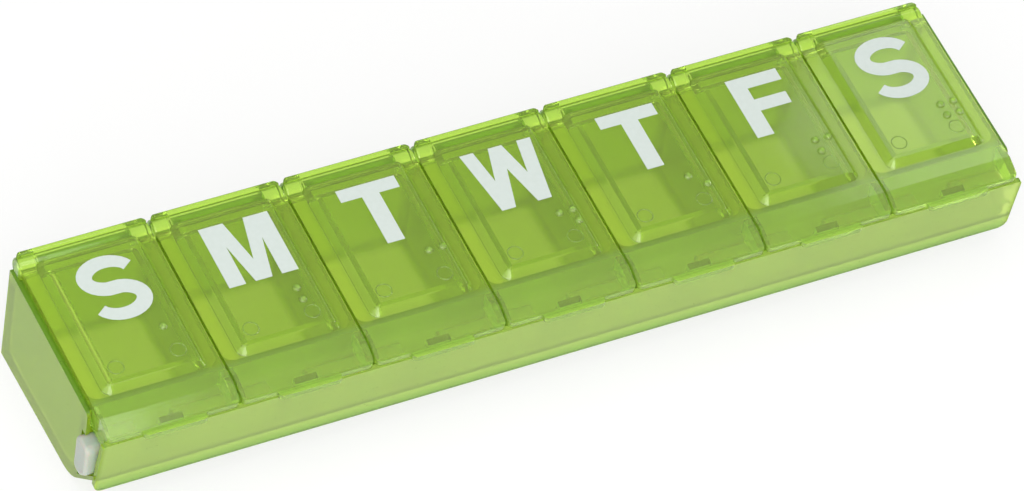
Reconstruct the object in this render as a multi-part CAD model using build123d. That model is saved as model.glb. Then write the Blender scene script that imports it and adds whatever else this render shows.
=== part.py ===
from build123d import *
import os
from math import cos, radians, sin, sqrt, tan

# Weekly pill organizer, in millimetres.
# A long tray holds seven wells in a row, each under its own hinged lid.
# A lock bar slides along a channel behind the front skirt and hooks every lid's latch at once.
# X runs along the row, the front with the thumb tabs faces -Y, and the underside is at Z = 0.

DAYS = ("sunday", "monday", "tuesday", "wednesday", "thursday", "friday", "saturday")

# Row and tray
PITCH = 30.4              # from one well to the next
END_MARGIN = 1.1          # end face beyond the first and last lid's share of the row
DEPTH = 47.7              # top of the front skirt to the back wall, outside
FLOOR = 1.5
DIVIDER = 1.4             # wall between two wells
BACK_WALL = 1.5
WELL_FRONT_WALL = 1.4
WELL_SETBACK = 9.15       # front of the wells' wall behind the skirt's top edge
WELL_CORNER = 2.6         # rounded sides of each well
SCOOP_RADIUS = 6.0        # front of each well's floor, for a fingertip
WELL_REAR_RADIUS = 3.0
TOE_SETBACK = 11.95       # where the underside turns up at 45 degrees towards the skirt
TOE_PLATE = 0.9           # sloping floor of the lock bar's channel
TOE_BLEND = 9.0
END_SKIN = 0.8            # outermost layer of each end wall, standing up beside the lids
END_REAR_HEIGHT = 26.2
END_FRONT_HEIGHT = 24.4
END_CORNER = 1.2
CHEEK_REACH = 1.7         # end skin in front of the wells' wall, above the lock bar

# Front skirt
SKIRT = 1.2
SKIRT_TOP = 22.3
SKIRT_BOTTOM = 5.9
SKIRT_LEAN = 2.0          # lower edge behind the upper edge
SKIRT_INSET = 0.3         # short of each end face
SKIRT_LOWER_CORNER = 2.2
SKIRT_UPPER_CORNER = 0.6

# Lid and hinge
LID_SLOPE = 3.1           # degrees, falling towards the front
HINGE_HEIGHT = 26.1
HINGE_SETBACK = 0.35      # hinge line in from the back face
LID_RISE = 0.1            # underside of the lid above the hinge line
LID_SEAT_GAP = 0.3
LID_GAP = 0.6             # between two lids
LID_PLATE = 1.8
LID_OVERHANG = 2.5        # behind the hinge line
LID_REAR_CORNER = 2.2
RIM_HEIGHT = 0.8          # ridge along the rear edge
RIM_WIDTH = 1.2
RIM_ROUND = 0.4
ROLL_RADIUS = 2.55        # roll under the lid's rear edge, round about the hinge line
ROLL_EDGE = 0.4
ROLL_GAP = 0.35           # between the roll and the tray
COVER_ANGLE = 40.0        # degrees above level where the roll's hood over the knuckle ends at the rear
KNUCKLE_RADIUS = 1.7      # tray's knuckle in the middle of the roll
KNUCKLE_LENGTH = 20.4
PIN_RADIUS = 0.9
PIN_REACH = 1.6           # into the knuckle
PIN_ROOT = 1.0            # sunk into the roll
PIN_CLEARANCE = 0.06
PIN_END_GAP = 0.3
CREASE_SETBACK = 4.6      # crease behind the skirt's top edge; the lip slopes down from there
CREASE_RADIUS = 1.5
LIP_SETBACK = 0.3         # lip's front edge in from the skirt's top edge
LIP_DROP = 1.3            # height of the lip's front edge
LIP_EDGE = 1.3            # thickness of the lip's turned-down edge
LIP_GAP = 0.3             # over the skirt
LIP_CORNER = 1.1
WEB_THICKNESS = 1.2       # webs that close the lip's two sides
WEB_GAP = 0.4             # to the wells' wall and the skirt
PAD_RISE = 1.5            # raised panel on each lid
PAD_SIDE_INSET = 3.1
PAD_REAR_INSET = 0.65     # in front of the hinge line
PAD_FRONT_INSET = 5.2     # behind the crease
PAD_TAPER = 42.0          # degrees, sides of the raised panel
PAD_CORNER = 2.2
PAD_EDGE = 0.5
PAD_ROOT = 0.5            # sunk into the plate
PAD_SKIN = 1.4
PAD_REAR_SKIN = 2.9       # more at the rear, where the hood is

# Thumb tab and latch
TAB_WIDTH = 14.4
TAB_REACH = 1.2           # in front of the skirt's top edge
TAB_LIFT = 0.1            # above the lip's lower edge; the tab's top is flush with the lip
TAB_CORNER = 1.1
TAB_ROOT = 1.3            # sunk into the lip
TONGUE_WIDTH = 5.2
TONGUE_THICKNESS = 1.3
TONGUE_TIP_Z = 10.8
TONGUE_ROOT_Z = 23.5
TONGUE_CLEARANCE = 0.4    # to the skirt as the lid swings
FOOT_LENGTH = 2.8         # hook at the tongue's tip, towards -X
FOOT_HEIGHT = 1.6

# Lock bar
BAR_THICKNESS = 5.4
BAR_HEIGHT = 10.0
BAR_LIFT = 8.0            # underside of the bar above the table
BAR_CLEARANCE = 0.3
LOCK_TRAVEL = 3.0
BAR_CORNER = 1.6          # rounded long edges
BAR_EDGE = 0.8            # rounded ends
NOTCH_SIDE_GAP = 0.5
NOTCH_HEIGHT_GAP = 0.3
RIB_THICKNESS = 2.6       # ribs across the channel that carry and guide the bar
RIB_HEIGHT = 14.5
KEEPER_REACH = 0.8        # beads on the wells' wall that keep the bar down
KEEPER_HEIGHT = 1.0
KEEPER_LENGTH = 5.0

# Places that follow from the sizes
COUNT = len(DAYS)
HALF_LENGTH = COUNT * PITCH / 2 + END_MARGIN
INNER_HALF = HALF_LENGTH - END_SKIN
BACK_Y = DEPTH / 2
FRONT_Y = -DEPTH / 2
HINGE_Y = BACK_Y - HINGE_SETBACK
ROLL_SPACE = ROLL_RADIUS + ROLL_GAP
BACK_TOP = HINGE_HEIGHT - ROLL_SPACE
HOOD_RADIUS = KNUCKLE_RADIUS + ROLL_GAP
HOOD_HALF = KNUCKLE_LENGTH / 2 + ROLL_GAP
CHANNEL_BACK_Y = FRONT_Y + WELL_SETBACK
CHEEK_Y = CHANNEL_BACK_Y - CHEEK_REACH
WELL_FRONT_Y = CHANNEL_BACK_Y + WELL_FRONT_WALL
WELL_BACK_Y = BACK_Y - BACK_WALL
WELL_WIDTH = PITCH - DIVIDER
TOE_Y = FRONT_Y + TOE_SETBACK
TOE_END_Y = FRONT_Y + SKIRT_LEAN
LID_WIDTH = PITCH - LID_GAP
LID_TOP = LID_RISE + LID_PLATE
CREASE_Y = FRONT_Y + CREASE_SETBACK
LIP_Y = FRONT_Y + LIP_SETBACK
LIP_Z = SKIRT_TOP + LIP_GAP
BAR_BACK_Y = CHANNEL_BACK_Y - BAR_CLEARANCE
BAR_FRONT_Y = BAR_BACK_Y - BAR_THICKNESS
BAR_TOP = BAR_LIFT + BAR_HEIGHT
SLOPE = radians(LID_SLOPE)
WEB_BOTTOM = BAR_TOP + KEEPER_HEIGHT + 2 * BAR_CLEARANCE
WELL_XS = [(i - (COUNT - 1) / 2) * PITCH for i in range(COUNT)]
DIVIDER_XS = [(WELL_XS[i] + WELL_XS[i + 1]) / 2 for i in range(COUNT - 1)]


def on_slope(back, up):
    """Y and Z of a point 'back' along the lid's slope from the hinge line and 'up' square to it."""
    return (HINGE_Y + back * cos(SLOPE) - up * sin(SLOPE),
            HINGE_HEIGHT + back * sin(SLOPE) + up * cos(SLOPE))


def slope_height(y, up):
    """Z at depth y on the plane that lies 'up' above the hinge line, parallel to the lid."""
    y0, z0 = on_slope(0, up)
    return z0 + (y - y0) * tan(SLOPE)


def toe_height(y, above=0.0):
    """Z of the 45 degree underside at depth y, or of a line 'above' it and square to it."""
    return TOE_Y - y + above * sqrt(2)


def slab(face, x0, x1):
    """A side-view face (Y, Z) given thickness from x0 to x1."""
    return extrude(Plane.YZ.offset(x0) * face, x1 - x0)


def block(x0, x1, y0, y1, z0, z1):
    """A plain box between two corners."""
    return Pos((x0 + x1) / 2, (y0 + y1) / 2, (z0 + z1) / 2) * Box(x1 - x0, y1 - y0, z1 - z0)


def soften(face, point, radius):
    """The face with its corner nearest to the point rounded."""
    return fillet(face.vertices().sort_by_distance((point[0], point[1], 0))[0], radius)


def wells_outline():
    """Side view of the tray behind the channel, cut down at the rear for the lids' rolled edges."""
    step_y = HINGE_Y - ROLL_SPACE
    seat = LID_RISE - LID_SEAT_GAP
    face = make_face(Polyline(
        (TOE_Y, 0), (BACK_Y, 0), (BACK_Y, BACK_TOP), (step_y, BACK_TOP), (step_y, slope_height(step_y, seat)),
        (CHANNEL_BACK_Y, slope_height(CHANNEL_BACK_Y, seat)), (CHANNEL_BACK_Y, toe_height(CHANNEL_BACK_Y)),
        close=True))
    return soften(face, (TOE_Y, 0), TOE_BLEND)


def end_outline():
    """The outermost skin of an end wall: the lock bar passes in front of it, over the sloping toe."""
    mouth_top = BAR_TOP + BAR_CLEARANCE
    face = make_face(Polyline(
        (TOE_Y, 0), (BACK_Y, 0), (BACK_Y, END_REAR_HEIGHT), (CHEEK_Y, END_FRONT_HEIGHT),
        (CHEEK_Y, mouth_top), (CHANNEL_BACK_Y, mouth_top),
        (CHANNEL_BACK_Y, toe_height(CHANNEL_BACK_Y, TOE_PLATE)),
        (TOE_END_Y, toe_height(TOE_END_Y, TOE_PLATE)),
        (TOE_END_Y, toe_height(TOE_END_Y)), close=True))
    face = soften(face, (TOE_Y, 0), TOE_BLEND)
    return soften(face, (CHEEK_Y, END_FRONT_HEIGHT), END_CORNER)


def well_space():
    """The hollow of one well: a scooped front, a rounded rear, and soft sides."""
    top = HINGE_HEIGHT + LID_TOP
    face = make_face(Polyline(
        (WELL_FRONT_Y, FLOOR), (WELL_BACK_Y, FLOOR), (WELL_BACK_Y, top), (WELL_FRONT_Y, top), close=True))
    face = soften(face, (WELL_FRONT_Y, FLOOR), SCOOP_RADIUS)
    face = soften(face, (WELL_BACK_Y, FLOOR), WELL_REAR_RADIUS)
    space = slab(face, -WELL_WIDTH / 2, WELL_WIDTH / 2)
    sides = [edge for edge in space.edges().filter_by(Axis.X, reverse=True) if edge.center().Z < top - FLOOR]
    return fillet(sides, WELL_CORNER)


def skirt():
    """The front skirt, leaning out towards its top so that the latches can swing behind it."""
    rise = SKIRT_TOP - SKIRT_BOTTOM
    height = sqrt(rise ** 2 + SKIRT_LEAN ** 2)
    face = Pos(0, -height / 2) * Rectangle(2 * (HALF_LENGTH - SKIRT_INSET), height)
    face = fillet(face.vertices().group_by(Axis.Y)[0], SKIRT_LOWER_CORNER)
    face = fillet(face.vertices().group_by(Axis.Y)[-1], SKIRT_UPPER_CORNER)
    plane = Plane(origin=(0, FRONT_Y, SKIRT_TOP), x_dir=(1, 0, 0), z_dir=(0, -rise, -SKIRT_LEAN))
    return extrude(plane * face, -SKIRT)


def skirt_back(z):
    """Y of the skirt's inner side at height z."""
    return FRONT_Y + SKIRT + SKIRT_LEAN * (SKIRT_TOP - z) / (SKIRT_TOP - SKIRT_BOTTOM)


def bar_outline(grow):
    """The lock bar in side view, its lower front edge cut parallel to the toe; 'grow' makes room."""
    low, front = BAR_LIFT - grow, BAR_FRONT_Y - grow
    above = TOE_PLATE + BAR_CLEARANCE - grow
    knee_y = TOE_Y + above * sqrt(2) - low
    return make_face(Polyline(
        (BAR_BACK_Y + grow, low), (knee_y, low), (front, toe_height(front, above)),
        (front, BAR_TOP + grow), (BAR_BACK_Y + grow, BAR_TOP + grow), close=True))


def channel_rib():
    """A rib that carries the bar from below and guides it from the front."""
    sunk = SKIRT / 2
    top_y = skirt_back(RIB_HEIGHT) - sunk
    face = make_face(Polyline(
        (CHANNEL_BACK_Y, toe_height(CHANNEL_BACK_Y, TOE_PLATE / 2)),
        (CHANNEL_BACK_Y, BAR_LIFT), (BAR_FRONT_Y, RIB_HEIGHT), (top_y, RIB_HEIGHT),
        (TOE_END_Y, toe_height(TOE_END_Y, TOE_PLATE / 2)), close=True))
    return slab(face - bar_outline(BAR_CLEARANCE), -RIB_THICKNESS / 2, RIB_THICKNESS / 2)


def keeper():
    """A bead, half sunk in the wells' front wall, that keeps the bar from lifting out."""
    face = Pos(CHANNEL_BACK_Y, BAR_TOP + BAR_CLEARANCE + KEEPER_HEIGHT / 2) * Ellipse(
        KEEPER_REACH, KEEPER_HEIGHT / 2)
    return slab(face, -KEEPER_LENGTH / 2, KEEPER_LENGTH / 2)


def hinge_disc(radius):
    """A round face about the hinge line, in side view."""
    return Pos(HINGE_Y, HINGE_HEIGHT) * Circle(radius)


def knuckle():
    """The tray's half of one hinge: a barrel on the back wall with a blind bore in each end."""
    half = KNUCKLE_LENGTH / 2
    root = make_face(Polyline(
        (WELL_BACK_Y, BACK_TOP - BACK_WALL), (BACK_Y, BACK_TOP - BACK_WALL), (BACK_Y, HINGE_HEIGHT),
        (WELL_BACK_Y, HINGE_HEIGHT), close=True))
    barrel = slab(hinge_disc(KNUCKLE_RADIUS) + root, -half, half)
    bore = slab(hinge_disc(PIN_RADIUS + PIN_CLEARANCE), half - PIN_REACH - PIN_END_GAP, half)
    return barrel - bore - mirror(bore, Plane.YZ)


def tray():
    """The moulded base: seven wells, the lock bar's channel and skirt, and the hinges' knuckles."""
    body = slab(wells_outline(), -INNER_HALF, INNER_HALF)
    end = end_outline()
    body += slab(end, -HALF_LENGTH, -INNER_HALF)
    body += slab(end, INNER_HALF, HALF_LENGTH)
    body += skirt()
    toe = make_face(Polyline(
        (CHANNEL_BACK_Y, toe_height(CHANNEL_BACK_Y)), (CHANNEL_BACK_Y, toe_height(CHANNEL_BACK_Y, TOE_PLATE)),
        (TOE_END_Y, toe_height(TOE_END_Y, TOE_PLATE)), (TOE_END_Y, toe_height(TOE_END_Y)), close=True))
    body += slab(toe, -INNER_HALF, INNER_HALF)
    rib = channel_rib()
    end_rib_x = INNER_HALF - RIB_THICKNESS / 2
    body += [Pos(x, 0, 0) * rib for x in [-end_rib_x, *DIVIDER_XS, end_rib_x]]
    bead = keeper()
    body += [Pos(x, 0, 0) * bead for x in DIVIDER_XS]
    space = well_space()
    body -= [Pos(x, 0, 0) * space for x in WELL_XS]
    barrel = knuckle()
    return body + [Pos(x, 0, 0) * barrel for x in WELL_XS]


def lip_height(y):
    """Z of the upper side of the lip at depth y, from the crease down to its front edge."""
    front_z = LIP_Z + LIP_DROP
    return front_z + (y - LIP_Y) * (slope_height(CREASE_Y, LID_TOP) - front_z) / (CREASE_Y - LIP_Y)


def lid_shell():
    """The lid's plate: a ridge and a roll at the rear, and bent at the crease into a turned-down lip."""
    crease = (CREASE_Y, lip_height(CREASE_Y))
    edge_back_y = LIP_Y + LIP_EDGE
    rim_rear = on_slope(LID_OVERHANG, LID_TOP + RIM_HEIGHT)
    rim_front = on_slope(LID_OVERHANG - RIM_WIDTH, LID_TOP + RIM_HEIGHT)
    face = make_face(Polyline(
        rim_rear, rim_front, on_slope(LID_OVERHANG - RIM_WIDTH, LID_TOP), crease, (LIP_Y, lip_height(LIP_Y)),
        (LIP_Y, LIP_Z), (edge_back_y, LIP_Z), (edge_back_y, lip_height(edge_back_y) - LID_PLATE),
        (CREASE_Y, crease[1] - LID_PLATE), on_slope(LID_OVERHANG, LID_RISE), close=True))
    face = soften(face, crease, CREASE_RADIUS)
    for corner in (rim_rear, rim_front):
        face = soften(face, corner, RIM_ROUND)
    rear_y = on_slope(LID_OVERHANG, LID_RISE)[0]
    plan = Pos(0, (LIP_Y + rear_y) / 2) * Rectangle(LID_WIDTH, rear_y - LIP_Y)
    plan = fillet(plan.vertices().group_by(Axis.Y)[-1], LID_REAR_CORNER)
    plan = fillet(plan.vertices().group_by(Axis.Y)[0], LIP_CORNER)
    plate = slab(face, -LID_WIDTH / 2, LID_WIDTH / 2) & extrude(plan, HINGE_HEIGHT + 2 * LID_TOP)
    roll = slab(hinge_disc(ROLL_RADIUS), -LID_WIDTH / 2, LID_WIDTH / 2)
    return plate + fillet(roll.edges().filter_by(GeomType.CIRCLE), ROLL_EDGE)


def hood_space():
    """What the roll leaves open for the tray's knuckle and its wall, from shut to fully open."""
    reach = 2 * ROLL_RADIUS
    sweep = make_face(Polyline(
        on_slope(0, LID_RISE), on_slope(-reach, LID_RISE), (HINGE_Y - reach, HINGE_HEIGHT - reach),
        (HINGE_Y + reach, HINGE_HEIGHT - reach),
        (HINGE_Y + reach, HINGE_HEIGHT + reach * tan(radians(COVER_ANGLE))), close=True))
    return slab(hinge_disc(HOOD_RADIUS) + sweep, -HOOD_HALF, HOOD_HALF)


def lip_web():
    """The web at the lip's right side, which reaches down to just above the keepers."""
    front_y = skirt_back(WEB_BOTTOM) + WEB_GAP
    back_y = CHANNEL_BACK_Y - WEB_GAP
    sunk = LID_PLATE / 2
    face = make_face(Polyline(
        (front_y, WEB_BOTTOM), (back_y, WEB_BOTTOM), (back_y, slope_height(back_y, LID_TOP) - sunk),
        (CREASE_Y, lip_height(CREASE_Y) - sunk), (front_y, lip_height(front_y) - sunk), close=True))
    return slab(face, LID_WIDTH / 2 - WEB_THICKNESS, LID_WIDTH / 2)


def slope_plane(back, up):
    """A sketch plane on the lid's slope."""
    y, z = on_slope(back, up)
    return Plane(origin=(0, y, z), x_dir=(1, 0, 0), z_dir=(0, -sin(SLOPE), cos(SLOPE)))


def panel(skin, rear_skin, up, rise):
    """The raised panel's block, or with the skins taken off its outline the hollow under it."""
    front = (CREASE_Y - HINGE_Y) / cos(SLOPE) + PAD_FRONT_INSET + skin
    rear = -PAD_REAR_INSET - rear_skin
    width = LID_WIDTH - 2 * PAD_SIDE_INSET - 2 * skin
    plan = RectangleRounded(width, rear - front, PAD_CORNER - skin / 2)
    return extrude(slope_plane((front + rear) / 2, up) * plan, rise, taper=PAD_TAPER)


def latch_tongue():
    """A hook that hangs under the lip, curved about the hinge so that it leaves its notch cleanly."""
    outer = sqrt((HINGE_Y - FRONT_Y - SKIRT - TONGUE_CLEARANCE) ** 2 + (HINGE_HEIGHT - SKIRT_TOP) ** 2)
    inner = outer - TONGUE_THICKNESS

    def at(radius, z):
        return (HINGE_Y - sqrt(radius ** 2 - (HINGE_HEIGHT - z) ** 2), z)

    def band(z0, z1):
        middle = (z0 + z1) / 2
        return make_face([
            ThreePointArc(at(outer, z0), at(outer, middle), at(outer, z1)),
            Line(at(outer, z1), at(inner, z1)),
            ThreePointArc(at(inner, z1), at(inner, middle), at(inner, z0)),
            Line(at(inner, z0), at(outer, z0)),
        ])

    tongue = slab(band(TONGUE_TIP_Z, TONGUE_ROOT_Z), -TONGUE_WIDTH / 2, TONGUE_WIDTH / 2)
    foot = slab(band(TONGUE_TIP_Z, TONGUE_TIP_Z + FOOT_HEIGHT),
                -TONGUE_WIDTH / 2 - FOOT_LENGTH, TONGUE_WIDTH / 2)
    return tongue + foot


def thumb_tab():
    """The lip that a thumb lifts, standing out over the skirt."""
    depth = TAB_REACH + LIP_SETBACK + TAB_ROOT
    tab = extrude(RectangleRounded(TAB_WIDTH, depth, TAB_CORNER), LIP_DROP - TAB_LIFT)
    return Pos(0, FRONT_Y - TAB_REACH + depth / 2, LIP_Z + TAB_LIFT) * tab


def lid():
    """One lid in its closed place over the middle of the row."""
    spread = PAD_ROOT * tan(radians(PAD_TAPER))
    pad = panel(-spread, -spread, LID_TOP - PAD_ROOT, PAD_RISE + PAD_ROOT)
    solid = lid_shell() + fillet(pad.faces().sort_by(Axis.Z)[-1].edges(), PAD_EDGE)
    solid -= hood_space()
    solid -= panel(PAD_SKIN, PAD_REAR_SKIN, LID_RISE, LID_PLATE + PAD_RISE - PAD_SKIN)
    solid += latch_tongue()
    solid += thumb_tab()
    pin = slab(hinge_disc(PIN_RADIUS), KNUCKLE_LENGTH / 2 - PIN_REACH, HOOD_HALF + PIN_ROOT)
    for side in (pin, lip_web()):
        solid += [side, mirror(side, Plane.YZ)]
    return solid


def lock_bar():
    """The white bar: as long as the tray, standing out at the left end while the lids are free."""
    shift = -LOCK_TRAVEL / 2
    bar = slab(bar_outline(0), shift - HALF_LENGTH, shift + HALF_LENGTH)
    bar = fillet(bar.edges().filter_by(Axis.X), BAR_CORNER)
    ends = bar.faces().filter_by(Axis.X)
    bar = fillet([edge for end in ends for edge in end.edges()], BAR_EDGE)
    foot_top = TONGUE_TIP_Z + FOOT_HEIGHT
    low = TONGUE_TIP_Z - NOTCH_HEIGHT_GAP
    left = -TONGUE_WIDTH / 2 - FOOT_LENGTH - NOTCH_SIDE_GAP
    right = TONGUE_WIDTH / 2 + NOTCH_SIDE_GAP
    back, front = BAR_BACK_Y + BAR_CLEARANCE, BAR_FRONT_Y - BAR_CLEARANCE
    notch = block(left, right, front, back, low, BAR_TOP + BAR_CLEARANCE)
    notch += block(left - LOCK_TRAVEL, right, front, back, low, foot_top + NOTCH_HEIGHT_GAP)
    return bar - [Pos(x, 0, 0) * notch for x in WELL_XS]


os.makedirs("parts", exist_ok=True)
export_step(tray(), "parts/tray.step")
export_step(lock_bar(), "parts/lock_bar.step")
one_lid = lid()
for day, x in zip(DAYS, WELL_XS):
    export_step(Pos(x, 0, 0) * one_lid, f"parts/lid_{day}.step")
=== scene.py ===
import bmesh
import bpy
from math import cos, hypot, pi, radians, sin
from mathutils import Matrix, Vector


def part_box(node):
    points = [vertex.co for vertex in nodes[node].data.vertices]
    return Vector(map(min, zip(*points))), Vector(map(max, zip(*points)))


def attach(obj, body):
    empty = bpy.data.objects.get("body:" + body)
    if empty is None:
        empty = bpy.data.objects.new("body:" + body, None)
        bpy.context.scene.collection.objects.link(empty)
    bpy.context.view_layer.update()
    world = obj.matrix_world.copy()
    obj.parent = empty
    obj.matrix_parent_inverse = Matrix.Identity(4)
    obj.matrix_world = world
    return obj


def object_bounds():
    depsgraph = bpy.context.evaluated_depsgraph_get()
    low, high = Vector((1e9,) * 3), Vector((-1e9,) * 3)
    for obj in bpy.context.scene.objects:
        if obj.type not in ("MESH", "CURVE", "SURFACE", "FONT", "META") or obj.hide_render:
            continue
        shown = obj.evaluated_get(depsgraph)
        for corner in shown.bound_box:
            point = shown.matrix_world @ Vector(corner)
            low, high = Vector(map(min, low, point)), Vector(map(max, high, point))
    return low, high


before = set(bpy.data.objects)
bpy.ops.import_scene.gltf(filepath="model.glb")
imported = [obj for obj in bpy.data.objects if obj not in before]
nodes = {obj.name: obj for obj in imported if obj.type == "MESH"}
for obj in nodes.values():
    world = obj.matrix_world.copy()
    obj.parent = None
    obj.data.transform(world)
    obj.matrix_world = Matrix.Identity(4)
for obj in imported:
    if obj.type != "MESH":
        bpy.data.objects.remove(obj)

# %% [markdown]
# # A weekly pill organizer in translucent lime plastic
#
# The CAD model already holds every moulded piece: one tray with seven wells, seven hinged lids and
# the white lock bar. This lesson dresses them. It gives each plastic its finish, prints a day's
# initial on every lid, raises the little reading dots beside it, and sets up the light, the white
# ground and the camera of the photograph.
#
# The helpers come first: one turns a colour as it is written into what a shader takes, one adds a
# node, and one gives a piece its plastic. Lengths are written in millimetres, and Blender's are metres.

MM = 0.001
COLOUR_A, COLOUR_B, COLOUR_OUT = 6, 7, 2    # a Mix node's colour sockets, which come after its plain ones
DAYS = ("sunday", "monday", "tuesday", "wednesday", "thursday", "friday", "saturday")

cad_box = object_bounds()
scene = bpy.context.scene
lids = [f"lid_{day}" for day in DAYS]
print("nodes:", sorted(nodes))


def linear(hex_colour):
    """A hex sRGB colour as the linear RGBA that shader sockets take."""
    channels = [int(hex_colour[i:i + 2], 16) / 255 for i in (1, 3, 5)]
    return (*[c / 12.92 if c <= 0.04045 else ((c + 0.055) / 1.055) ** 2.4 for c in channels], 1.0)


def add(tree, kind, links=(), **settings):
    """Adds a node, sets its properties or its sockets by name, and makes its (from, to) links."""
    node = tree.nodes.new(kind)
    for name, value in settings.items():
        if hasattr(node, name):
            setattr(node, name, value)
        else:
            node.inputs[name.replace("_", " ")].default_value = value
    for source, target in links:
        tree.links.new(source, node.inputs[target])
    return node


def new_material(name):
    """An empty material with its tree and its Principled shader."""
    material = bpy.data.materials.new(name)
    material.use_nodes = True
    tree = material.node_tree
    return material, tree, tree.nodes["Principled BSDF"]


def dress(node_name, material):
    """Gives a CAD node its one finish."""
    mesh = nodes[node_name].data
    mesh.materials.clear()
    mesh.materials.append(material)


# %% [markdown]
# ## Clear lime polystyrene: the lids
#
# The lids are moulded in polished tools from a clear, lime-tinted polystyrene. To the eye that gives
# sharp reflections and a bright yellow-green, which is deeper on the panel, with a whole well below it,
# than on the plate around it. One plain green glass would give every part of the lid the same tint. So
# light and shade are painted into the tint of the skin by place: painted light on the margin and the
# front lip, painted shade on the rolled rear edge, and the panel keeps the plain tint. A weak dye in the
# body then deepens the long ways along inside an edge. What a computer surface lacks is the slight flow
# of a moulded one, so a broad, very low bump makes the reflections wander.

# %% Lid plastic: colours and sizes
LID_SKIN = "#D4F070"
LID_SKIN_FLOW = "#CAEA60"
LID_MARGIN_PAINTED_LIGHT = "#DEFA62"    # painted light: the plate beside the raised panel, brighter and more yellow than the panel
LID_LIP_PAINTED_LIGHT = "#E0FF84"       # painted light: the sloping front lip, lighter than the skin
LID_REAR_PAINTED_SHADE = "#C8EE62"      # painted shade: the rolled rear edge, a deeper green, with nothing but plastic behind it
LID_DYE = (0.60, 0.86, 0.10)
LID_DYE_DENSITY = 35.0    # per metre: hardly seen across a plate, more along an edge
LID_IOR = 1.59            # polystyrene
LID_ROUGHNESS = 0.07
LID_CLEAR = 0.82          # share of the light that goes in; the skin scatters the rest

PITCH_MM = 30.4           # from one lid to the next
PANEL_HALF_MM = 11.4      # the raised panel: half its width, its front and its rear
PANEL_FRONT_MM = -14.0
PANEL_REAR_MM = 21.0
TINT_BLEND_MM = 1.0       # one tint turns to the next over this width
REAR_BLEND_MM = 1.5

FLOW_MM = 14.0            # width of the slow waves that a mould's flow leaves
FLOW_DETAIL = 2.0
FLOW_DEPTH_MM = 0.15
FLOW_BUMP = 0.25
print("lid tints:", LID_SKIN, LID_MARGIN_PAINTED_LIGHT, LID_LIP_PAINTED_LIGHT, LID_REAR_PAINTED_SHADE)


# %% Lid plastic: the material
def lime_polystyrene():
    material, tree, shader = new_material("lime_polystyrene_polished")
    shader.inputs["IOR"].default_value = LID_IOR
    shader.inputs["Roughness"].default_value = LID_ROUGHNESS
    shader.inputs["Transmission Weight"].default_value = LID_CLEAR
    place = add(tree, "ShaderNodeTexCoord")
    flow = add(tree, "ShaderNodeTexNoise", [(place.outputs["Object"], "Vector")],
               Scale=1 / (FLOW_MM * MM), Detail=FLOW_DETAIL)
    tint = add(tree, "ShaderNodeMix", [(flow.outputs["Fac"], 0)], data_type="RGBA")
    tint.inputs[COLOUR_A].default_value = linear(LID_SKIN)
    tint.inputs[COLOUR_B].default_value = linear(LID_SKIN_FLOW)

    # Every lid's own middle counts as X = 0, so the same margins come out on all seven.
    where = add(tree, "ShaderNodeSeparateXYZ", [(place.outputs["Object"], 0)])
    aside = add(tree, "ShaderNodeMath", [(where.outputs["X"], 0)], operation="WRAP")
    aside.inputs[1].default_value = PITCH_MM / 2 * MM
    aside.inputs[2].default_value = -PITCH_MM / 2 * MM
    aside = add(tree, "ShaderNodeMath", [(aside.outputs[0], 0)], operation="ABSOLUTE")
    # Painted light on the margin and the front lip, painted shade on the rolled rear edge: each turns the
    # skin's tint into its own over a short width.
    for source, start, width, colour in (
            (aside.outputs[0], PANEL_HALF_MM, TINT_BLEND_MM, LID_MARGIN_PAINTED_LIGHT),
            (where.outputs["Y"], PANEL_FRONT_MM, -TINT_BLEND_MM, LID_LIP_PAINTED_LIGHT),
            (where.outputs["Y"], PANEL_REAR_MM, REAR_BLEND_MM, LID_REAR_PAINTED_SHADE)):
        edge = add(tree, "ShaderNodeMapRange", [(source, "Value")],
                   From_Min=start * MM, From_Max=(start + width) * MM)
        tint = add(tree, "ShaderNodeMix", [(edge.outputs[0], 0), (tint.outputs[COLOUR_OUT], COLOUR_A)],
                   data_type="RGBA")
        tint.inputs[COLOUR_B].default_value = linear(colour)
    tree.links.new(tint.outputs[COLOUR_OUT], shader.inputs["Base Color"])

    bump = add(tree, "ShaderNodeBump", [(flow.outputs["Fac"], "Height")],
               Strength=FLOW_BUMP, Distance=FLOW_DEPTH_MM * MM)
    tree.links.new(bump.outputs["Normal"], shader.inputs["Normal"])
    depth = add(tree, "ShaderNodeVolumeAbsorption", Color=(*LID_DYE, 1.0), Density=LID_DYE_DENSITY)
    tree.links.new(depth.outputs[0], tree.nodes["Material Output"].inputs["Volume"])
    return material


lid_plastic = lime_polystyrene()
for name in lids:
    dress(name, lid_plastic)
print("dressed", len(lids), "lids in", lid_plastic.name)

# %% [markdown]
# ## Frosted lime polypropylene: the tray
#
# The tray is moulded polypropylene, which is cloudy by nature, and its outside is lightly etched. So it
# is paler than the lids, it glows instead of showing sharp images, and its gloss is a soft satin. Light
# scattered under the skin would give the glow too, but then the wells and what stands behind the front
# wall could not be seen through it. So most of the light goes in through a rough skin, and light and shade
# are painted into the tint by place: painted light makes the floors paler and the front wall paler still,
# and painted shade makes the upper edges of walls and the front wall's lower edge darker.

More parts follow.
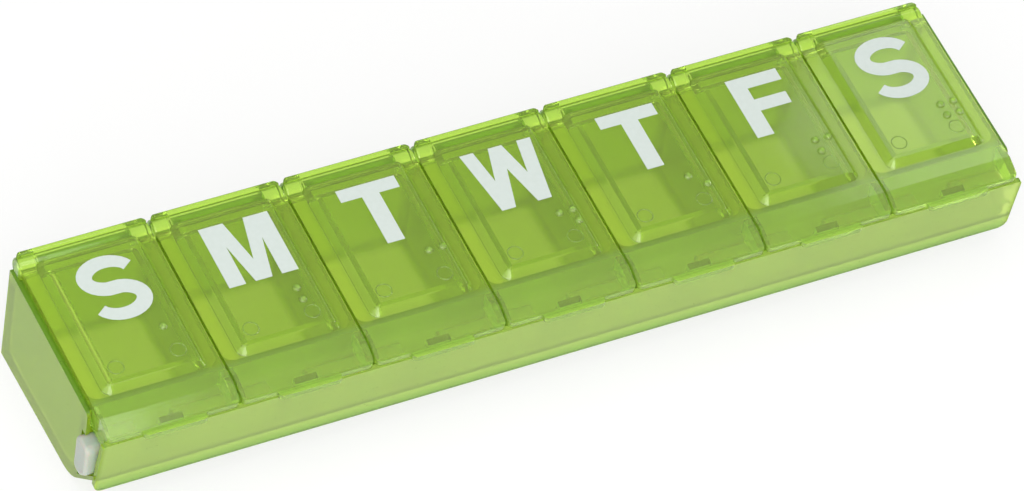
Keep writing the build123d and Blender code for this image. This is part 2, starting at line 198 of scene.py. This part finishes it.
# %% Tray plastic: colours and sizes
TRAY_GREEN = "#C2E036"
TRAY_DEEP = "#BADA2C"
TRAY_FLOOR_PAINTED_LIGHT = "#EAF5C4"    # painted light: floors are seen through the lids, lit from below, and painted paler
TRAY_EDGE_PAINTED_SHADE = "#8CBE34"     # painted shade: upper edges of walls, darker, where light has come up inside the wall
TRAY_SKIRT_PAINTED_LIGHT = "#DCF67A"    # painted light: the thin front wall and its channel, paler, with light behind them
TRAY_HEM_PAINTED_SHADE = "#AAD454"      # painted shade: free lower edge of the front wall, darker
TRAY_DYE = (0.65, 0.86, 0.10)
TRAY_DYE_DENSITY = 60.0   # per metre
POLYPROPYLENE_IOR = 1.49
TRAY_CLEAR = 0.75         # share of the light that goes in
TRAY_GLOSS = (0.26, 0.32)      # roughness of the etched skin, from its pits to its tops

LEVEL_NORMAL = (0.75, 0.95)    # Z of a face's normal: below the first it stands, above the second it lies
FLOOR_TOP_MM = (6.0, 4.0)      # level faces below this are floors
WALL_TOP_MM = (12.0, 14.0)     # level faces above this are the edges of walls
CHANNEL_MM = (-15.0, -17.0)    # Y where the channel and the front wall begin
END_WALL_MM = (107.0, 106.0)   # X where an end wall's outside gives way to the inside
HEM_MM = (11.0, 7.0)           # Z over which the front wall turns into its hem

CLOUD_MM = 18.0           # slow clouds in the plastic
CLOUD_DETAIL = 3.0
ETCH_MM = 0.35            # grit of the etched skin, drawn coarser than the real 0.1 mm so that it shows
ETCH_DETAIL = 1.0
ETCH_DEPTH_MM = 0.02
ETCH_BUMP = 0.05
print("tray tints:", TRAY_GREEN, TRAY_FLOOR_PAINTED_LIGHT, TRAY_EDGE_PAINTED_SHADE, TRAY_SKIRT_PAINTED_LIGHT, TRAY_HEM_PAINTED_SHADE)


# %% Tray plastic: the material
def frosted_polypropylene():
    material, tree, shader = new_material("lime_polypropylene_frosted")
    shader.inputs["IOR"].default_value = POLYPROPYLENE_IOR
    shader.inputs["Transmission Weight"].default_value = TRAY_CLEAR
    place = add(tree, "ShaderNodeTexCoord")
    cloud = add(tree, "ShaderNodeTexNoise", [(place.outputs["Object"], "Vector")],
                Scale=1 / (CLOUD_MM * MM), Detail=CLOUD_DETAIL)
    etch = add(tree, "ShaderNodeTexNoise", [(place.outputs["Object"], "Vector")],
               Scale=1 / (ETCH_MM * MM), Detail=ETCH_DETAIL)
    tint = add(tree, "ShaderNodeMix", [(cloud.outputs["Fac"], 0)], data_type="RGBA")
    tint.inputs[COLOUR_A].default_value = linear(TRAY_GREEN)
    tint.inputs[COLOUR_B].default_value = linear(TRAY_DEEP)

    # Six masks by place, each from 0 to 1.
    where = add(tree, "ShaderNodeSeparateXYZ", [(place.outputs["Object"], 0)])
    facing = add(tree, "ShaderNodeSeparateXYZ", [(place.outputs["Normal"], 0)])
    upward = add(tree, "ShaderNodeMath", [(facing.outputs["Z"], 0)], operation="ABSOLUTE")
    aside = add(tree, "ShaderNodeMath", [(where.outputs["X"], 0)], operation="ABSOLUTE")
    level = add(tree, "ShaderNodeMapRange", [(upward.outputs[0], "Value")],
                From_Min=LEVEL_NORMAL[0], From_Max=LEVEL_NORMAL[1])
    low, high, front, inside, hem = (
        add(tree, "ShaderNodeMapRange", [(source, "Value")], From_Min=start * MM, From_Max=end * MM)
        for source, (start, end) in (
            (where.outputs["Z"], FLOOR_TOP_MM), (where.outputs["Z"], WALL_TOP_MM),
            (where.outputs["Y"], CHANNEL_MM), (aside.outputs[0], END_WALL_MM), (where.outputs["Z"], HEM_MM)))
    skirt = add(tree, "ShaderNodeMath", [(front.outputs[0], 0), (inside.outputs[0], 1)], operation="MULTIPLY")

    # Two masks make a region: level and low is a floor, level and high is the edge of a wall.
    # Each region gets painted light (floors, front wall) or painted shade (edges of walls, hem) in its tint.
    for first, second, colour in ((level, low, TRAY_FLOOR_PAINTED_LIGHT), (level, high, TRAY_EDGE_PAINTED_SHADE),
                                  (front, inside, TRAY_SKIRT_PAINTED_LIGHT), (skirt, hem, TRAY_HEM_PAINTED_SHADE)):
        region = add(tree, "ShaderNodeMath", [(first.outputs[0], 0), (second.outputs[0], 1)],
                     operation="MULTIPLY")
        tint = add(tree, "ShaderNodeMix", [(region.outputs[0], 0), (tint.outputs[COLOUR_OUT], COLOUR_A)],
                   data_type="RGBA")
        tint.inputs[COLOUR_B].default_value = linear(colour)
    tree.links.new(tint.outputs[COLOUR_OUT], shader.inputs["Base Color"])

    gloss = add(tree, "ShaderNodeMapRange", [(etch.outputs["Fac"], "Value")],
                To_Min=TRAY_GLOSS[0], To_Max=TRAY_GLOSS[1])
    tree.links.new(gloss.outputs["Result"], shader.inputs["Roughness"])
    bump = add(tree, "ShaderNodeBump", [(etch.outputs["Fac"], "Height")],
               Strength=ETCH_BUMP, Distance=ETCH_DEPTH_MM * MM)
    tree.links.new(bump.outputs["Normal"], shader.inputs["Normal"])
    depth = add(tree, "ShaderNodeVolumeAbsorption", Color=(*TRAY_DYE, 1.0), Density=TRAY_DYE_DENSITY)
    tree.links.new(depth.outputs[0], tree.nodes["Material Output"].inputs["Volume"])
    return material


tray_plastic = frosted_polypropylene()
dress("tray", tray_plastic)
print("dressed the tray in", tray_plastic.name)

# %% [markdown]
# ## White polypropylene: the lock bar
#
# The bar is opaque white polypropylene with a fine moulded grain. A plain white would look like chalk,
# with hard edges. A trace of scattering under the skin softens them, as in a milk-bottle cap, and the
# grain breaks the gloss.

# %% Lock bar plastic
BAR_WHITE = "#B0B7AE"
BAR_SHADE = "#A7AEA4"
BAR_SCATTER = 0.5
BAR_SCATTER_MM = 3.0
BAR_GLOSS = (0.38, 0.5)
GRAIN_DETAIL = 2.0        # the grain is as wide as the tray's etch
GRAIN_DEPTH_MM = 0.02
GRAIN_BUMP = 0.2


def white_polypropylene():
    material, tree, shader = new_material("white_polypropylene_satin")
    shader.inputs["IOR"].default_value = POLYPROPYLENE_IOR
    shader.inputs["Subsurface Weight"].default_value = BAR_SCATTER
    shader.inputs["Subsurface Scale"].default_value = BAR_SCATTER_MM * MM
    place = add(tree, "ShaderNodeTexCoord")
    grain = add(tree, "ShaderNodeTexNoise", [(place.outputs["Object"], "Vector")],
                Scale=1 / (ETCH_MM * MM), Detail=GRAIN_DETAIL)
    tint = add(tree, "ShaderNodeMix", [(grain.outputs["Fac"], 0)], data_type="RGBA")
    tint.inputs[COLOUR_A].default_value = linear(BAR_WHITE)
    tint.inputs[COLOUR_B].default_value = linear(BAR_SHADE)
    tree.links.new(tint.outputs[COLOUR_OUT], shader.inputs["Base Color"])
    gloss = add(tree, "ShaderNodeMapRange", [(grain.outputs["Fac"], "Value")],
                To_Min=BAR_GLOSS[0], To_Max=BAR_GLOSS[1])
    tree.links.new(gloss.outputs["Result"], shader.inputs["Roughness"])
    bump = add(tree, "ShaderNodeBump", [(grain.outputs["Fac"], "Height")],
               Strength=GRAIN_BUMP, Distance=GRAIN_DEPTH_MM * MM)
    tree.links.new(bump.outputs["Normal"], shader.inputs["Normal"])
    return material


dress("lock_bar", white_polypropylene())
print("dressed the lock bar")

# %% [markdown]
# ## Where the print goes
#
# Every lid has a raised panel that slopes slightly down to the front. Print and dots are laid out flat
# in a panel's own millimetres, X to the right and Y to the rear, and one matrix sets them on the panel.
# The slope could be written down once more here, but measuring it can't go wrong: the largest face that
# looks up and lies near the top of the lid's own mesh is the panel.

# %% The panel's plane
PANEL_NORMAL = 0.95       # least Z of the panel's normal
PANEL_DEPTH = 4 * MM      # the panel lies no deeper than this below the lid's highest point


def panel_plane(node_name):
    """The matrix that lays flat millimetre work on a lid's raised panel."""
    mesh = nodes[node_name].data
    low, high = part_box(node_name)
    big = max((p for p in mesh.polygons if p.normal.z > PANEL_NORMAL and p.center.z > high.z - PANEL_DEPTH),
              key=lambda p: p.area)
    normal = big.normal.normalized()
    across = Vector((1, 0, 0))
    rear = normal.cross(across).normalized()
    middle = Vector(((low.x + high.x) / 2, 0, 0))
    corner = mesh.vertices[big.vertices[0]].co
    middle.z = corner.z - (normal.y * (middle.y - corner.y)) / normal.z
    turn = Matrix((across, rear, normal)).transposed().to_4x4()
    return Matrix.Translation(middle) @ turn @ Matrix.Scale(MM, 4)


planes = {name: panel_plane(name) for name in lids}
print("panel height over the middle: %.2f mm" % (planes[lids[0]].translation.z / MM))

# %% [markdown]
# ## The printed initials
#
# Each panel carries the first letter of its day, pad-printed in white. A text object would need a
# typeface, so the letters are drawn here from a few strokes of one weight. Straight letters are closed
# outlines, and M and W need only their right half, because the left one mirrors it.

# %% Straight letters
CAP = 16.2                # height of the capitals; every size here is in millimetres
STEM = 4.0                # weight of an upright stroke
ARM = 3.2                 # weight of a level stroke
T_HALF = 6.8
F_HALF = 6.1
F_ARM_FOOT = 6.6          # under edge of the F's lower arm
F_ARM_SHORT = 0.7         # how much shorter that arm is
M_HALF = [(1.9, 0), (4.1, 10.2), (4.1, 0), (7.9, 0), (7.9, CAP), (2.3, CAP)]
M_DIP = (0, 5.5)          # where the M's slants meet, seen from above
W_HALF = [(2.6, 0), (5.8, 0), (8.3, CAP), (5.1, CAP), (3.8, 7.74), (1.6, CAP)]
W_PEAK = (0, 10.03)       # where the W's inner slants meet, seen from below


def bar_outline(x0, y0, x1, y1):
    return [(x0, y0), (x1, y0), (x1, y1), (x0, y1)]


def mirrored(half):
    return [(-x, y) for x, y in reversed(half)]


def letter_outlines(letter):
    """Closed outlines of a straight-sided letter, with its foot at 0 and its middle at 0."""
    if letter == "T":
        return [bar_outline(-T_HALF, CAP - ARM, T_HALF, CAP),
                bar_outline(-STEM / 2, 0, STEM / 2, CAP - ARM)]
    if letter == "F":
        return [bar_outline(-F_HALF, 0, -F_HALF + STEM, CAP),
                bar_outline(-F_HALF + STEM, CAP - ARM, F_HALF, CAP),
                bar_outline(-F_HALF + STEM, F_ARM_FOOT, F_HALF - F_ARM_SHORT, F_ARM_FOOT + ARM)]
    if letter == "M":
        return [M_HALF + [M_DIP] + mirrored(M_HALF)]
    if letter == "W":
        return [W_HALF + mirrored(W_HALF) + [W_PEAK]]
    return []


print({letter: len(letter_outlines(letter)) for letter in "TFMW"}, "outlines a letter")

# %% [markdown]
# The S is drawn as a pen does it: an upper and a lower bowl, whose near ends run into one slanted
# spine. Its width is swept along that path and swells slightly towards the middle.

# %% The S
S_BOWL = (5.2, 3.5)       # half width and half height of a bowl, at the middle of the stroke
S_OVERSHOOT = 0.4         # round letters reach a little past straight ones
S_TOP_START = radians(20)
S_LOW_START = radians(75)
S_TURN = radians(235)     # how far the pen turns in each bowl
S_STEPS = 20
S_ENDS = 2.9              # weight of the stroke at its ends
S_SWELL = 0.6             # what the middle has more


def s_stroke():
    """The S as one path with its widths."""
    bowl_x, bowl_y = S_BOWL
    top = CAP - ARM / 2 - bowl_y + S_OVERSHOOT
    foot = ARM / 2 + bowl_y - S_OVERSHOOT
    path = []
    for start, turn, centre in ((S_TOP_START, S_TURN, top), (S_LOW_START, -S_TURN, foot)):
        for i in range(S_STEPS + 1):
            angle = start + turn * i / S_STEPS
            path.append((bowl_x * cos(angle), centre + bowl_y * sin(angle)))
    widths = [S_ENDS + S_SWELL * sin(pi * i / (len(path) - 1)) for i in range(len(path))]
    return path, widths


def swept_outline(path, widths):
    """The left and right rails of a stroke whose width changes along a path."""
    left, right = [], []
    for i, (x, y) in enumerate(path):
        before, after = path[max(i - 1, 0)], path[min(i + 1, len(path) - 1)]
        dx, dy = after[0] - before[0], after[1] - before[1]
        shift = widths[i] / 2 / hypot(dx, dy)
        left.append((x - dy * shift, y + dx * shift))
        right.append((x + dy * shift, y - dx * shift))
    return left, right


print("the S has", len(s_stroke()[0]), "points along its path")

# %% [markdown]
# White pad-print ink is a matt film with slightly uneven cover. It could be one more colour in the lid's
# material, but letters are hard to write as a mask of nodes, and real ink lies on the plastic, not in it.
# So it gets a material of its own, opaque and matt, with patches of thicker and thinner cover.

# %% Ink
INK_WHITE = "#CBD4CF"
INK_THIN = "#C2CCC5"
INK_IOR = 1.5
INK_PATCH = 1.2           # width of a patch of thicker or thinner ink; the print's own unit is the millimetre
INK_DETAIL = 2.0
INK_GLOSS = (0.4, 0.6)


def pad_print_ink():
    material, tree, shader = new_material("white_pad_print_ink")
    shader.inputs["IOR"].default_value = INK_IOR
    place = add(tree, "ShaderNodeTexCoord")
    cover = add(tree, "ShaderNodeTexNoise", [(place.outputs["Object"], "Vector")],
                Scale=1 / INK_PATCH, Detail=INK_DETAIL)
    tint = add(tree, "ShaderNodeMix", [(cover.outputs["Fac"], 0)], data_type="RGBA")
    tint.inputs[COLOUR_A].default_value = linear(INK_WHITE)
    tint.inputs[COLOUR_B].default_value = linear(INK_THIN)
    tree.links.new(tint.outputs[COLOUR_OUT], shader.inputs["Base Color"])
    gloss = add(tree, "ShaderNodeMapRange", [(cover.outputs["Fac"], "Value")],
                To_Min=INK_GLOSS[0], To_Max=INK_GLOSS[1])
    tree.links.new(gloss.outputs["Result"], shader.inputs["Roughness"])
    return material


ink = pad_print_ink()
print("mixed", ink.name)

# %% [markdown]
# Each letter then becomes a thin sheet, laid just clear of its lid's panel so that the two never
# flicker through each other. It rides on the lid, and so swings open with it.

# %% Print the letters
INK_LIFT = 0.06           # over the panel: thicker than a real film, so that it stays clear of it
LETTER_X = 1.0            # letters stand slightly right of the panel's middle
LETTER_Y = 2.0            # foot of the letters, from the tray's middle towards the rear


def ink_mesh(name, outlines, strips):
    """A thin film from closed outlines and swept strips."""
    mesh = bpy.data.meshes.new(name)
    work = bmesh.new()
    for outline in outlines:
        work.faces.new([work.verts.new((x, y, INK_LIFT)) for x, y in outline])
    for left, right in strips:
        rails = [(work.verts.new((*a, INK_LIFT)), work.verts.new((*b, INK_LIFT)))
                 for a, b in zip(left, right)]
        for (a, b), (c, d) in zip(rails, rails[1:]):
            work.faces.new((a, b, d, c))
    bmesh.ops.recalc_face_normals(work, faces=work.faces)
    for face in work.faces:
        if face.normal.z < 0:
            face.normal_flip()
    work.to_mesh(mesh)
    work.free()
    return mesh


for name in lids:
    letter = name[len("lid_")].upper()
    strips = [swept_outline(*s_stroke())] if letter == "S" else []
    mesh = ink_mesh(f"initial_{name}", letter_outlines(letter), strips)
    mesh.materials.append(ink)
    printed = bpy.data.objects.new(f"initial_{name}", mesh)
    scene.collection.objects.link(printed)
    printed.matrix_world = planes[name] @ Matrix.Translation((LETTER_X, LETTER_Y, 0))
    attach(printed, name)
print("printed", len(lids), "initials, capitals %.1f mm high" % CAP)

# %% [markdown]
# ## Raised reading dots
#
# In front of its letter, at the right, each lid has its number, 1 to 7, in raised reading dots. Two
# ejector pins of the mould have each left a faint ring nearby. Bump in the material would draw such
# marks, but it leaves no shape to catch the light from the side. So they are low meshes of the lid's own
# plastic: a dome is stacked from circles and closed at its crown, and a ring is four circles joined.

# %% Dots and rings: shapes
DOT_RADIUS = 0.95         # every size here is in millimetres
DOT_RISE = 0.7
DOT_SUNK = 0.05           # how far the foot goes into the panel
DOT_STEPS, DOT_SIDES = 5, 20
RING_RADIUS = 1.8
RING_WIDTH = 0.25
RING_RISE = 0.01
RING_SUNK = 0.01
RING_SIDES = 32


def circle(work, x, y, radius, z, sides):
    return [work.verts.new((x + radius * cos(2 * pi * s / sides), y + radius * sin(2 * pi * s / sides), z))
            for s in range(sides)]


def wall(work, here, there):
    """A band of faces from one circle to another."""
    sides = len(here)
    for s in range(sides):
        work.faces.new((here[s], here[(s + 1) % sides], there[(s + 1) % sides], there[s]))


def dome(work, x, y):
    """One low closed dome, its foot sunk slightly into the panel."""
    last = circle(work, x, y, DOT_RADIUS, -DOT_SUNK, DOT_SIDES)
    work.faces.new(reversed(last))
    for step in range(DOT_STEPS):
        lean = (pi / 2) * step / DOT_STEPS
        upper = circle(work, x, y, DOT_RADIUS * cos(lean), DOT_RISE * sin(lean), DOT_SIDES)
        wall(work, last, upper)
        last = upper
    crown = work.verts.new((x, y, DOT_RISE))
    for s in range(DOT_SIDES):
        work.faces.new((last[s], last[(s + 1) % DOT_SIDES], crown))


def ejector_ring(work, x, y):
    """The faint round mark of an ejector pin: a very low closed ring."""
    inner = RING_RADIUS - RING_WIDTH
    rails = [circle(work, x, y, radius, z, RING_SIDES) for radius, z in (
        (RING_RADIUS, -RING_SUNK), (RING_RADIUS, RING_RISE), (inner, RING_RISE), (inner, -RING_SUNK))]
    for here, there in zip(rails, rails[1:] + rails[:1]):
        wall(work, here, there)


print("a dot is %.1f mm wide and %.1f mm high" % (2 * DOT_RADIUS, DOT_RISE))

# %% [markdown]
# A reading cell has two columns of three places. They are counted down the left column, 1 to 3, and
# then down the right one, 4 to 6. The digits 1 to 7 use only the upper two rows.

# %% Dots and rings: on the lids
DOT_PITCH = 3.1
DOT_X, DOT_Y = 6.4, -2.5  # place of the upper left dot of the cell
CELL_ROWS = 3
DOT_CELLS = ((1,), (1, 2), (1, 4), (1, 4, 5), (1, 5), (1, 2, 4), (1, 2, 4, 5))
RING_XS = (-7.0, 7.0)
RING_Y = -9.0

for name, cell in zip(lids, DOT_CELLS):
    work = bmesh.new()
    for x in RING_XS:
        ejector_ring(work, x, RING_Y)
    for dot in cell:
        column, row = divmod(dot - 1, CELL_ROWS)
        dome(work, DOT_X + column * DOT_PITCH, DOT_Y - row * DOT_PITCH)
    mesh = bpy.data.meshes.new(f"dots_{name}")
    work.to_mesh(mesh)
    work.free()
    mesh.shade_smooth()
    mesh.materials.append(lid_plastic)
    dots = bpy.data.objects.new(f"dots_{name}", mesh)
    scene.collection.objects.link(dots)
    dots.matrix_world = planes[name]
    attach(dots, name)
print("raised", sum(len(cell) for cell in DOT_CELLS), "dots")

# %% [markdown]
# ## The white ground
#
# The photograph is a cut-out on white. A pale matt sheet alone would come out grey, and more light on it
# would bleach the plastic. So the sheet catches the soft shadow, and to the camera, and to whatever is
# seen in or through the plastic, it glows white by itself. Because the plastic is clear, most of its
# colour is this white seen through it.

# %% Ground
GROUND_WHITE = "#F4F4F2"
GROUND_ROUGHNESS = 0.9
GROUND_GLOW = 0.75        # share of its own white; the rest is lit, and keeps the shadow
GROUND_HALF = 3.0         # metres
GROUND_DROP = 0.2 * MM    # just below the tray


def white_ground():
    material, tree, shader = new_material("white_studio_ground")
    shader.inputs["Base Color"].default_value = linear(GROUND_WHITE)
    shader.inputs["Roughness"].default_value = GROUND_ROUGHNESS
    path = add(tree, "ShaderNodeLightPath")
    seen = path.outputs["Is Camera Ray"]
    for other in ("Is Glossy Ray", "Is Transmission Ray"):
        seen = add(tree, "ShaderNodeMath", [(seen, 0), (path.outputs[other], 1)],
                   operation="MAXIMUM").outputs[0]
    share = add(tree, "ShaderNodeMath", [(seen, 0)], operation="MULTIPLY")
    share.inputs[1].default_value = GROUND_GLOW
    glow = add(tree, "ShaderNodeEmission", Strength=1.0)    # 1 is white
    mix = add(tree, "ShaderNodeMixShader",
              [(share.outputs[0], 0), (shader.outputs[0], 1), (glow.outputs[0], 2)])
    tree.links.new(mix.outputs[0], tree.nodes["Material Output"].inputs["Surface"])
    return material


corners = [(x * GROUND_HALF, y * GROUND_HALF, 0) for x, y in ((-1, -1), (1, -1), (1, 1), (-1, 1))]
ground_mesh = bpy.data.meshes.new("ground")
ground_mesh.from_pydata(corners, [], [(0, 1, 2, 3)])
ground_mesh.materials.append(white_ground())
ground = bpy.data.objects.new("ground", ground_mesh)
ground.location.z = cad_box[0][2] - GROUND_DROP
scene.collection.objects.link(ground)
print("ground at %.1f mm" % (ground.location.z / MM))

# %% [markdown]
# ## Light
#
# The photograph has soft studio light with hardly a shadow. One small lamp would leave hard glints in
# the glossy lids, so large, weak softboxes stand around the object, all looking at it. The large front
# one lights the lips and the front wall. A small one behind, at the right, stands just where the last
# lid mirrors it, and gives that lid the sheen it has in the photograph.

# %% Lights
LAMPS = (    # name, place and size in metres, power in watts
    ("overhead", (-0.15, 0.0, 1.1), 0.9, 5.0),
    ("front", (-0.5, -1.35, 1.0), 1.5, 28.0),
    ("left", (-1.1, -0.25, 0.6), 0.9, 3.4),
    ("right_low", (1.2, -0.08, 0.3), 0.4, 4.0),
    ("sheen", (0.715, 0.562, 0.945), 0.25, 0.3))
SKY_WHITE = (1, 1, 1, 1)
SKY_STRENGTH = 0.3

for name, place, size, power in LAMPS:
    lamp = bpy.data.lights.new(name, "AREA")
    lamp.size = size
    lamp.energy = power
    holder = bpy.data.objects.new(name, lamp)
    holder.location = place
    holder.rotation_euler = (-Vector(place)).to_track_quat("-Z", "Y").to_euler()
    scene.collection.objects.link(holder)

world = bpy.data.worlds.new("white_studio")
scene.world = world
world.use_nodes = True
sky = world.node_tree.nodes["Background"]
sky.inputs["Color"].default_value = SKY_WHITE
sky.inputs["Strength"].default_value = SKY_STRENGTH

# %% [markdown]
# ## The camera of the photograph
#
# The photograph was taken from in front, from the left and above, from far away with a long lens, and
# tilted about ten degrees. A camera set by eye never quite covers a photograph, so the angles were fitted
# to the lids' seams and the outline. The focal length is in pixels of the photograph's frame.

# %% Camera
FROM_LEFT = radians(33.22)
ABOVE = radians(47.95)
TILT = radians(9.95)
AIM = Vector((0.0, 3.44, 14.0)) * MM
DISTANCE = 1702.7 * MM
FRAME_WIDTH_PX = 1024
FOCAL_PX = 8078.6
SENSOR_MM = 36.0
CLIP_START = 0.1          # metres

look = Vector((sin(FROM_LEFT) * cos(ABOVE), cos(FROM_LEFT) * cos(ABOVE), -sin(ABOVE)))
level = Vector((cos(FROM_LEFT), -sin(FROM_LEFT), 0))
upright = level.cross(look)
right = level * cos(TILT) + upright * sin(TILT)
up = upright * cos(TILT) - level * sin(TILT)
lens = bpy.data.cameras.new("photo_camera")
lens.sensor_width = SENSOR_MM
lens.lens = FOCAL_PX / FRAME_WIDTH_PX * SENSOR_MM
lens.clip_start = CLIP_START
camera = bpy.data.objects.new("photo_camera", lens)
turn = Matrix((right, up, -look)).transposed().to_4x4()
camera.matrix_world = Matrix.Translation(AIM - look * DISTANCE) @ turn
scene.collection.objects.link(camera)
scene.camera = camera
scene.view_settings.view_transform = "Standard"
print("lens %.0f mm from %.2f m" % (lens.lens, DISTANCE))
